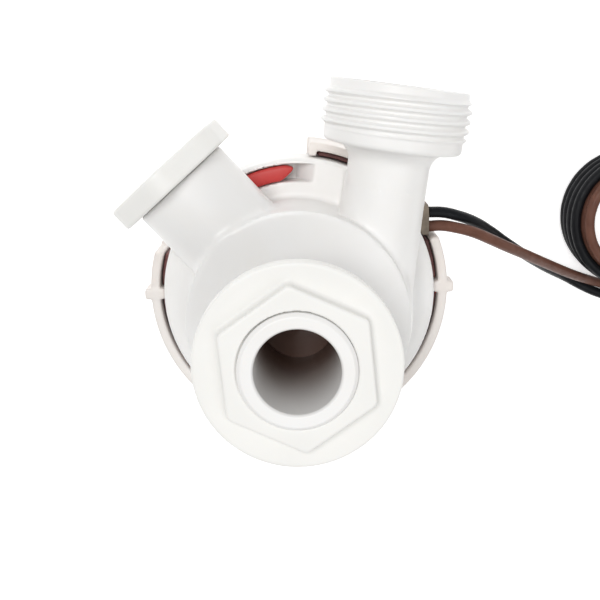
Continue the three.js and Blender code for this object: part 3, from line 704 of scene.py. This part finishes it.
def bare_tip(name, tail, replaced):
    """Seven twisted copper strands that stand out of a lead's cut end."""
    last, before = np.array(tail[-1], float), np.array(tail[-2], float)
    ahead = last - before
    ahead[2] = 0
    ahead /= np.linalg.norm(ahead)
    side = np.array([-ahead[1], ahead[0], 0])
    strands = []
    for i in range(7):
        ring_r = 0 if i == 6 else 0.56
        line = []
        for t in np.linspace(-0.12, 0.99, 16):
            turn = i * 60 * DEG + 3.6 * t
            spread = ring_r * (1 + 0.12 * max(0, t))
            offset = side * spread * math.cos(turn) + np.array([0, 0, spread * math.sin(turn)])
            line.append(last + ahead * TIP_LENGTH * t * (0.97 + 0.01 * i) + offset)
        strands.append(tube_mesh(line, 0.27, 8))
    made = link(name, joined_mesh(name, strands), "cartridge", "copper")
    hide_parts(replaced)
    return made


def coil_tie():
    """A flat vinyl-covered tie pulled round the stack of turns, with its two ends twisted together."""
    angle = TIE_DIRECTION * DEG
    out = np.array([math.cos(angle), math.sin(angle), 0])
    along = np.array([-math.sin(angle), math.cos(angle), 0])
    centre = np.array([*COIL_CENTRE, 0])
    inner, outer, low = BROWN_COIL[0] - LEAD_R - 0.35, BLACK_COIL[0] + LEAD_R + 0.75, 0.35
    brown_top, black_top = [
        COIL_LOW_Z + TURN_RISE * (turns - 1 + TIE_DIRECTION / 360) + LEAD_R + 0.5
        for turns in (BROWN_COIL[1], BLACK_COIL[1])
    ]
    corners = [(inner, low, 1.2), (outer, low, 1.2), (outer, black_top, 1.6), (inner, brown_top, 1.6)]
    outline = rounded(corners, 6)
    outline = outline + [outline[0]]
    line = [centre + out * r + np.array([0, 0, z]) for r, z in outline]
    sides = 12
    rings = []
    count = len(line) - 1
    for i in range(count):
        ahead = line[(i + 1) % count] - line[i - 1]
        ahead /= np.linalg.norm(ahead)
        normal = np.cross(along, ahead)
        angles = 2 * math.pi * np.arange(sides) / sides
        shape = np.cos(angles)[:, None] * along * 1.9 + np.sin(angles)[:, None] * normal * 0.28
        bead = np.exp(-((np.degrees(angles)[:, None] - 90) / 20) ** 2) * normal * 0.12
        rings.append(line[i] + shape + bead)
    parts = [(np.concatenate(rings), ring_quads(count, sides, closed=True))]
    foot = centre + out * (outer + 0.35) + np.array([0, 0, 9.5])
    for phase in (0, math.pi):
        line = []
        for t in np.linspace(0, 1, 30):
            turn = phase + 9 * t
            reach = 0.62 if t < 0.75 else 0.62 + 2.2 * (t - 0.75)
            sway = along * reach * math.cos(turn) + np.array([0, 0, reach * math.sin(turn)])
            line.append(foot + out * 7.5 * t + sway + np.array([0, 0, -2.2 * t * t]))
        parts.append(tube_mesh(line, 0.5, 8))
    return link("coil_tie", joined_mesh("coil_tie", parts), "cartridge", "lead_black")


def make_leads():
    black_points = BLACK_ROUTE + coil_turns(*BLACK_COIL) + BLACK_TAIL
    brown_points = BROWN_ROUTE + coil_turns(*BROWN_COIL) + BROWN_TAIL
    black = cord_curve("black_cord", black_points, "lead_black")
    brown = cord_curve("brown_cord", brown_points, "lead_brown")
    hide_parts("black_lead", "black_lead_coil", "black_lead_tail")
    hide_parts("brown_lead", "brown_lead_coil", "brown_lead_tail")
    black_tip = bare_tip("black_tip_strands", BLACK_TAIL, "black_lead_tip")
    brown_tip = bare_tip("brown_tip_strands", BROWN_TAIL, "brown_lead_tip")
    tie = coil_tie()


make_leads()


# ---- Housing ----
def spiral_radius(p):
    """The volute's outer radius, which swells anticlockwise from its tongue to the threaded outlet."""
    turn = (np.degrees(np.arctan2(p[:, 1], p[:, 0])) - 70) % 360
    swell = np.clip(turn / 282.5, 0, 1)
    fade = np.clip((turn - 300) / 60, 0, 1)
    return 26.9 + 2.6 * swell * (1 - smooth(fade))


def latch_recess(p):
    """The groove in the ledge that the latch lies in. It runs out in a ramp beyond the latch's tip."""
    floor = RIM_Z + 0.5 - 6.3 * np.clip((angle_of(p) - 82) / 9.4, 0, 1)
    side = between(radius_of(p), LATCH_IN_R - 0.2, LATCH_OUT_R + 0.2)
    return all_of(0.5, side, (floor - p[:, 2]) * 0.75, arc_between(p, 80, 122))


def hinge_pin(p, radius, inner, outer):
    q = turned_points(p, HINGE_ANGLE)
    return all_of(0.25, np.hypot(q[:, 1], q[:, 2] - HINGE_Z) - radius, between(q[:, 0], inner, outer))


def bayonet_track(p, start):
    run = sector_field(p, SKIRT_R - 1, 37.7, start - 16.5, start + 23.5, 44, 46, 0.2)
    entry = sector_field(p, SKIRT_R - 1, 37.7, start - 16.5, start + 8.5, SKIRT_END_Z - 2, 44.5, 0.2)
    return any_of(0, run, entry)


def housing_field(p):
    r, z = radius_of(p), p[:, 2]
    outlet, plugged = port_points(p, OUTLET), port_points(p, PLUGGED)
    volute = all_of(2.5, r - spiral_radius(p) - 0.5, z - VOLUTE_TOP_Z)
    drum = all_of(1.4, r - DRUM_R, z - RIM_Z)
    in_ledge = np.clip(-arc_between(p, 62, 152) / 4 + 0.5, 0, 1)
    flare = 10.5 - 8.9 * smooth(in_ledge)
    body = soft_min(drum, volute, flare)
    body = soft_min(body, disc_field(p, DISC_R, 79, SHOULDER_Z, 0.7), 0.8)
    taper = 0.6 * np.clip((30 - outlet[:, 2]) / 30, 0, 1)
    outlet_r = np.hypot(outlet[:, 0], outlet[:, 1])
    neck = all_of(0.1, outlet_r - OUTLET_NECK_R - taper, between(outlet[:, 2], 0, 36))
    web = box_field(outlet, (-10.4, 10.4), (-15, 0), (0, 60), 1.2)
    web = all_of(1.2, web, r - 38.4)
    body = soft_min(body, soft_min(neck, web, 1.2), 1.3)
    body = soft_max(body, -latch_recess(p), 0.5)
    collar = np.hypot(plugged[:, 0], plugged[:, 1])
    stub = all_of(0.8, collar - PLUG_NECK_R, between(plugged[:, 2], 0, PLUG_NECK_END))
    body = soft_min(body, stub, 2.2)
    hollow = any_of(
        0.4,
        all_of(0.8, r - SKIRT_R, z - ROOF_Z),
        all_of(1.2, r - spiral_radius(p) + 2.4, between(z, 45, CHAMBER_TOP_Z)),
        all_of(0, r - 11, z - 75),
        all_of(0, outlet_r - 9.4, 4 - outlet[:, 2]),
        all_of(0.3, collar - 10.55, 18 - plugged[:, 2]),
        all_of(0.2, collar - 12.6, PLUG_NECK_END - 1.5 - plugged[:, 2]),
    )
    latch_room = all_of(0.3, latch_recess(p), z - LATCH_HIGH.z - 0.35)
    cuts = any_of(0.2, latch_room, hinge_pin(p, 1.3, 31.2, 38.3), *[bayonet_track(p, a) for a in LUG_STARTS])
    return all_of(0.5, body, -hollow, -cuts, SKIRT_END_Z - z)


def nose_thread(angle, r, z):
    fade = np.clip((z - 88) / 2, 0, 1) * np.clip((TIP_Z - 0.9 - z) / 0.8, 0, 1)
    share = thread_share(angle, z, NOSE_PITCH)
    on_outside = r > NOSE_R - 0.05
    return np.where(on_outside, r - THREAD_DEPTH * fade * (1 - np.clip(share * 1.25 - 0.1, 0, 1)), r)


def nose_mesh():
    corners = [
        (NOSE_BORE_R, 82, 0.2), (12.6, 82, 0), (NOSE_R, SHOULDER_Z - 1, 0), (NOSE_R, SHOULDER_Z + 0.2, 0),
        (NOSE_R, 87.5, 0), (NOSE_R, TIP_Z - 0.8, 0), (NOSE_R - 0.8, TIP_Z, 0.25),
        (TIP_BORE_R + 0.45, TIP_Z, 0.2), (TIP_BORE_R, TIP_Z - 0.5, 0.3),
    ]
    profile = closer(rounded(corners, 3), 0.2, 87.4, TIP_Z - 0.7)
    return turned("nose", profile, 128, nose_thread)


def outlet_thread(angle, r, z):
    start, end = OUTLET_REACH - 2.2 - 4 * OUTLET_PITCH, OUTLET_REACH - 1.7
    share = thread_share(angle, z - start, OUTLET_PITCH)
    fade = np.clip((z - start + 0.6) / 1.2, 0, 1) * np.clip((end - z) / 1.2, 0, 1)
    crest = smooth(np.clip(1.35 - 1.6 * share, 0, 1))
    on_outside = r > OUTLET_END_R - 0.05
    return np.where(on_outside, r + 1.1 * fade * crest, r)


def outlet_mesh():
    corners = [
        (OUTLET_BORE_R, 21, 0), (10, 21, 0), (10, 34.5, 0), (OUTLET_NECK_R - 0.02, 35, 0),
        (OUTLET_NECK_R, 43.2, 2.2), (13.4, 46, 1.4), (OUTLET_END_R, 46.3, 1.6), (OUTLET_END_R, 49, 0),
        (OUTLET_END_R, OUTLET_REACH - 1, 0), (OUTLET_END_R, OUTLET_REACH, 0.5), (15.4, OUTLET_REACH, 0.4),
        (15.1, 50, 0.8), (OUTLET_BORE_R, 46, 1.2),
    ]
    profile = closer(rounded(corners, 5), 0.22, 48.9, OUTLET_REACH - 0.9)
    keep = [p for p in profile if p[0] > 16 or p[1] < 49 or p[1] > 62]
    mesh = turned("outlet", keep, 144, outlet_thread)
    mesh.transform(port_matrix(OUTLET))
    return mesh


def make_housing():
    high = Vector((BODY_HIGH.x, BODY_HIGH.y, SHOULDER_Z))
    shell = carved("shell", housing_field, BODY_LOW, high, cell=0.7)
    joined = combined("housing_shell", shell, [nose_mesh(), outlet_mesh()])
    made = link("housing_shell", joined, "housing", "housing_white")
    joined.shade_smooth()
    crisp(made, 40)
    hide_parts("pump_housing", "intake_tube", "outlet_tube")


# ---- Intake nut and washer ----
def hexagon_field(p, corner_r, turn, k):
    """Distance out of a hexagonal prism along Z, given the radius to its corners."""
    apothem = corner_r * math.cos(30 * DEG)
    sides = []
    for i in range(6):
        a = (turn + 30 + 60 * i) * DEG
        sides.append(p[:, 0] * math.cos(a) + p[:, 1] * math.sin(a) - apothem)
    return all_of(k, *sides)


def nut_field(p):
    r, z = radius_of(p), p[:, 2]
    dish = 116.2 - 0.55 * np.clip((22.4 - r) / 5, 0, 1)
    flange = all_of(0.7, r - 23.3, z - dish, NUT_LOW.z - z)
    head = all_of(0.7, hexagon_field(p, 18.95, 36, 0.9), z - NUT_HIGH.z, NUT_LOW.z + 1 - z)
    chamfer = (r - 18.9 + (z - NUT_HIGH.z + 0.35) * 1.1) * 0.7
    head = all_of(0.4, head, chamfer)
    body = soft_min(flange, head, 1.4)
    turn = np.arctan2(p[:, 1], p[:, 0])
    share = thread_share(turn, z, NOSE_PITCH)
    bore = 13.5 - THREAD_DEPTH * (1 - np.clip(share * 1.25 - 0.1, 0, 1))
    countersink = 13.38 - np.clip(np.minimum(NUT_HIGH.z - z, z - NUT_LOW.z), 0, 1.2) * 0.9
    bore = np.maximum(bore, countersink)
    return all_of(0.25, body, (bore - r) * 0.8)


def washer_profile():
    low, high = WASHER_LOW.z, WASHER_HIGH.z
    inner, outer = 13.7, WASHER_HIGH.x
    corners = [(inner, low, 0.3), (outer, low, 0.5), (outer, high, 0.5)]
    for r in (19.4, 17.6, 15.8):
        corners += [(r + 0.5, high, 0.15), (r, high - 0.35, 0.15), (r - 0.5, high, 0.15)]
    return rounded(corners + [(inner, high, 0.3)], 4)


def make_nut_and_washer():
    nut = carved_piece("nut_body", nut_field, (NUT_LOW, NUT_HIGH), "nut", "fitting_cream", cell=0.3)
    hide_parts("intake_nut")
    washer = link("washer_ring", turned("washer_ring", washer_profile(), 128), "washer", "black_rubber")
    crisp(washer)
    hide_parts("hull_washer")


# ---- Plug ----
def plug_field(p):
    q = port_points(p, PLUGGED)
    r, out = radius_of(q), q[:, 2]
    head = all_of(0.9, hexagon_field(q, 19.9, 86, 4.0), between(out, PLUG_NECK_END + 0.06, 52.5))
    stub = all_of(0.5, r - 10.2, between(out, 35, PLUG_NECK_END + 1))
    stub = soft_min(head, stub, 0.3)
    return all_of(0.4, stub, -all_of(0.4, r - 7.6, out - PLUG_NECK_END))


def make_plug():
    made = carved_piece("plug_cap", plug_field, node_box("outlet_plug"), "plug", "fitting_cream", cell=0.4)
    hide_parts("outlet_plug")


# ---- Latch ----
def latch_field(p):
    r, z = radius_of(p), p[:, 2]
    along = angle_of(p)
    tip = np.clip((along - LATCH_TIP) / 7.5, 0, 1)
    inner = LATCH_IN_R + 3.2 * (1 - tip) ** 1.6
    outer = LATCH_OUT_R - 0.9 * (1 - np.clip(tip * 1.5, 0, 1)) ** 2
    top = np.where(along > 116, LATCH_HIGH.z - 0.9, LATCH_HIGH.z)
    top = top - 0.9 * np.clip((along - 114.6) / 1.4, 0, 1) * (along <= 116)
    crown = 0.055 * (r - (inner + outer) / 2) ** 2
    span = arc_between(p, LATCH_TIP, LATCH_ROOT)
    arm = all_of(0.9, between(r, inner, outer), between(z, 54.4, top - crown), span)
    return soft_min(arm, hinge_pin(p, 1.0, 31.6, 38), 0.3)


def make_latch():
    made = carved_piece("latch_arm", latch_field, (LATCH_LOW, LATCH_HIGH), "latch", "latch_red", cell=0.22)
    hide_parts("release_latch")


# ---- Cartridge flange, gland and motor cover ----
def screw_hole(p, angle, radius, low, high):
    q = turned_points(p, angle)
    return all_of(0.2, np.hypot(q[:, 0] - SCREW_RING_R, q[:, 1]) - radius, between(q[:, 2], low, high))


def grip_field(p, angle):
    q = turned_points(p, angle)
    return box_field(q, (39.2, 45.2), (-1.65, 1.65), (46, 52.9), 0.9)


def flange_field(p):
    q = turned_points(p, DUCT_DIRECTION)
    plate = ring_field(p, 24.8, COLLAR_OUT_R, 37.5, 40.5)
    spigot = ring_field(p, 33.2, 35.9, 39.5, 45.7)
    lugs = [sector_field(p, 34.9, 37.3, a, a + 22, 44.3, 45.7, 0.3) for a in LUG_STARTS]
    bosses = [screw_hole(p, a, 2.8, 39.5, 44.9) for a in SCREW_ANGLES]
    collar = sector_field(p, COLLAR_IN_R, COLLAR_OUT_R, 165, 381, COLLAR_LOW_Z, COLLAR_TOP_Z, 0.9)
    bracket = sector_field(p, COLLAR_IN_R, 43.1, 42.5, BRACKET_END, COLLAR_LOW_Z, COLLAR_TOP_Z, 0.7)
    bracket_end = sector_field(p, 39.2, 41.7, 82.6, BRACKET_END, 44, COLLAR_TOP_Z, 0.5)
    duct = box_field(q, (24.3, 43.2), (-6, 6), (30.5, 38), 1.0)
    solid = any_of(0.5, plate, spigot, *lugs, *bosses, collar, bracket, duct)
    solid = any_of(0.5, solid, bracket_end, grip_field(p, 182.3), grip_field(p, 0.7))
    inside = box_field(q, (18, 42.3), (-4.6, 4.6), (32, 37.5), 0.4)
    riser = box_field(q, (39.9, 42.3), (-4.2, 4.2), (32, 42), 0.3)
    cut_back = sector_field(p, DRUM_R - 1.5, 45, 86.6, 164, 36, 41.5, 0.3)
    holes = any_of(0, inside, riser, cut_back, *[screw_hole(p, a, 1.6, 30, 44.4) for a in SCREW_ANGLES])
    return all_of(0.3, solid, -holes)


def gasket_field(p):
    flat = ring_field(p, 36.5, GASKET_OUT_R, 40.7, 42.2, 0.4)
    spans = [(3.6, 20.4), (44, 81.8), (165.5, 179.4), (185.2, 357.8)]
    lips = [sector_field(p, 39.2, GASKET_OUT_R, start, end, 41, GASKET_TOP_Z, 0.5) for start, end in spans]
    notch = all_of(0, box_field(p, (30, 45), (14.9, 24.9), (38, 44), 0.1), DRUM_R - radius_of(p))
    opening = sector_field(p, 35, 42, 83.6, 165, 40, 43, 0.2)
    return all_of(0.2, any_of(0.5, flat, *lips), -notch, -opening)


def gland_field(p):
    x, y, z = p[:, 0], p[:, 1], p[:, 2]
    drop = 0.12 * np.clip(y - 20, 0, 5) ** 2
    block = all_of(
        0.8,
        between(x, 32, GLAND_HIGH.x),
        between(y, 15.4, 24.4),
        between(z, GLAND_LOW.z, GLAND_HIGH.z - drop),
    )
    collars = [np.hypot(y - route[0][1], z - route[0][2]) - 1.9 for route in (BROWN_ROUTE, BLACK_ROUTE)]
    holes = any_of(0, *[all_of(0, c, 37.2 - x) for c in collars])
    return all_of(0.3, block, 39.15 - radius_of(p), -holes)


def cover_field(p):
    r, z = radius_of(p), p[:, 2]
    wall = COVER_R - 0.9 * np.clip((34 - z) / 33, 0, 1)
    cup = all_of(2.6, r - wall, COVER_LOW.z - z)
    cup = all_of(0.4, cup, z - COVER_HIGH.z)
    ribs = np.abs(((np.degrees(np.arctan2(p[:, 1], p[:, 0])) + 7.5) % 15) - 7.5) * DEG * r
    rib = all_of(0.5, ribs - 0.7, r - wall - 0.55, between(z, 5, 33))
    cup = soft_min(cup, rib, 0.8)
    cup = soft_min(cup, disc_field(p, 33.2, 34.2, COVER_HIGH.z, 0.6), 1.6)
    inner = 23.8 + 0.6 * np.clip((z - COVER_FLOOR_Z) / 34, 0, 1)
    hollow = all_of(1.2, r - inner, COVER_FLOOR_Z - z)
    cradle = ring_field(p, 18.8, 20.9, 2.2, 14, 0.5)
    q = turned_points(p, DUCT_DIRECTION)
    cradle = all_of(0.3, cradle, -box_field(q, (15, 22), (-4.5, 4.5), (COVER_FLOOR_Z, 15), 0.2))
    notch = box_field(q, (16, 40), (-6.3, 6.3), (30.2, 40), 0.3)
    rest_ring = ring_field(p, 9, 11.5, -2, 0.45, 0.3)
    solid = any_of(0.3, all_of(0.4, cup, -hollow), cradle)
    holes = any_of(0, notch, rest_ring, *[screw_hole(p, a, 1.6, 30, 40) for a in SCREW_ANGLES])
    return all_of(0.3, solid, -holes)


def screw_field(p):
    """A pan head with a cross recess below a threaded shank, standing on its own axis."""
    r, z = radius_of(p), p[:, 2]
    head = all_of(0.5, np.hypot(r, z - 34.6) - 3.9, r - 2.9, between(z, 31.9, 33.9))
    turn = np.arctan2(p[:, 1], p[:, 0])
    ridge_r = 1.08 + 0.18 * (1 - thread_share(turn, z, 0.9))
    shank = all_of(0.15, r - np.minimum(ridge_r, (44 - z) * 1.2), between(z, 33, 43.95))
    x, y = np.abs(p[:, 0]), np.abs(p[:, 1])
    arm = np.minimum(np.maximum(x - 0.36, y - 1.75), np.maximum(y - 0.36, x - 1.75))
    recess = all_of(0.15, arm + (z - 31.9) * 0.35, z - 33.2)
    return all_of(0.12, soft_min(head, shank, 0.3), -recess)


def make_cartridge_outside():
    box = (FLANGE_LOW, FLANGE_HIGH)
    made = carved_piece("flange_collar", flange_field, box, "cartridge", "collar_blush", cell=0.47)
    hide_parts("cartridge_flange")
    box = node_box("collar_gasket")
    gasket = carved_piece("gasket_strip", gasket_field, box, "cartridge", "gasket_brown", cell=0.36)
    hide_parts("collar_gasket")
    box = (GLAND_LOW, GLAND_HIGH)
    gland = carved_piece("gland_block", gland_field, box, "cartridge", "gland_olive", cell=0.22)
    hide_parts("lead_gland")
    box = (COVER_LOW, COVER_HIGH)
    cover = carved_piece("cover_cup", cover_field, box, "cartridge", "housing_white", cell=0.53)
    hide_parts("motor_cover")
    screw_mesh = carved("cover_screw", screw_field, (-3, -3, 31.9), (3, 3, 44), cell=0.15)
    for i, angle in enumerate(SCREW_ANGLES):
        mesh = screw_mesh.copy()
        place = Matrix.Rotation(angle * DEG, 4, "Z") @ Matrix.Translation((SCREW_RING_R * MM, 0, 0))
        mesh.transform(place @ Matrix.Rotation(0.7 * i, 4, "Z"))
        screw = link(f"cross_screw_{i + 1}", mesh, "cartridge", "zinc")
        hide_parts(f"cover_screw_{i + 1}")


# ---- Impeller ----
def impeller_field(p):
    r, z = radius_of(p), p[:, 2]
    hub_r = 5.8 - 0.4 * np.clip((z - 62) / 14, 0, 1)
    dome = 79.6 - 0.055 * r**2
    hub = all_of(0.9, r - hub_r, z - dome, IMPELLER_LOW.z - z)
    plate = disc_field(p, IMPELLER_R, IMPELLER_LOW.z, IMPELLER_LOW.z + 1.6, 0.5)
    bend = -38 * np.clip((r - 7.5) / 12.2, -0.6, 1.1)
    spacing = 60
    away = np.abs(((angle_of(p, 14) - bend + spacing / 2) % spacing) - spacing / 2)
    vane = all_of(0.5, (away * DEG * r - 0.9) * 0.82, between(r, 4, 19.7), between(z, 61.5, 79 - 0.02 * r))
    solid = any_of(0.7, hub, plate, vane)
    bore = all_of(0, r - 2.75, z - 77.6)
    return all_of(0.3, solid, -bore)


def make_impeller():
    box = (IMPELLER_LOW, IMPELLER_HIGH)
    made = carved_piece("impeller_wheel", impeller_field, box, "rotor", "inner_grey", cell=0.36)
    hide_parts("impeller")


# ---- Hidden CAD nodes keep their shape and take a detailed material ----
def finish_cad_nodes():
    slots = {part["node"]: part["material_slot"] for part in frame["record"]["subparts"]}
    for name, node in frame["nodes"].items():
        material = MATERIALS[slots[name]]
        if not node.material_slots:
            node.data.materials.append(material)
        for holder in node.material_slots:
            holder.material = material


# ---- Floor and light ----
def make_floor():
    size = 6.0
    mesh = bpy.data.meshes.new("floor")
    corners = [(-size, -size, 0), (size, -size, 0), (size, size, 0), (-size, size, 0)]
    mesh.from_pydata(corners, [], [(0, 1, 2, 3)])
    floor = shown("floor", mesh)
    material, _, surface = shader("floor", (0.93, 0.93, 0.93), 0.9)
    surface.inputs["Emission Color"].default_value = (1, 1, 1, 1)
    surface.inputs["Emission Strength"].default_value = 0.5
    surface.inputs["Specular IOR Level"].default_value = 0.1
    mesh.materials.append(material)


def area_light(name, place, size, power):
    """A round light aimed at the middle of the pump."""
    data = bpy.data.lights.new(name, "AREA")
    data.shape = "DISK"
    data.size = size
    data.energy = power
    light = shown(name, data)
    light.location = Vector(place) * MM
    aim = (Vector((0, 0, 60)) - Vector(place)).normalized()
    light.rotation_mode = "QUATERNION"
    light.rotation_quaternion = aim.to_track_quat("-Z", "Y")


def make_light():
    world = bpy.data.worlds.new("world")
    world.use_nodes = True
    sky = world.node_tree.nodes["Background"]
    sky.inputs["Color"].default_value = (1, 1, 1, 1)
    sky.inputs["Strength"].default_value = 0.455
    bpy.context.scene.world = world
    area_light("key", (-190, 300, 860), 0.45, 3.5)
    area_light("fill", (330, -240, 760), 0.7, 1.45)
    scene = bpy.context.scene
    scene.view_settings.view_transform = "Standard"
    scene.view_settings.look = "None"


finish_cad_nodes()
make_housing()
make_nut_and_washer()
make_plug()
make_latch()
make_cartridge_outside()
make_impeller()
make_floor()
make_light()
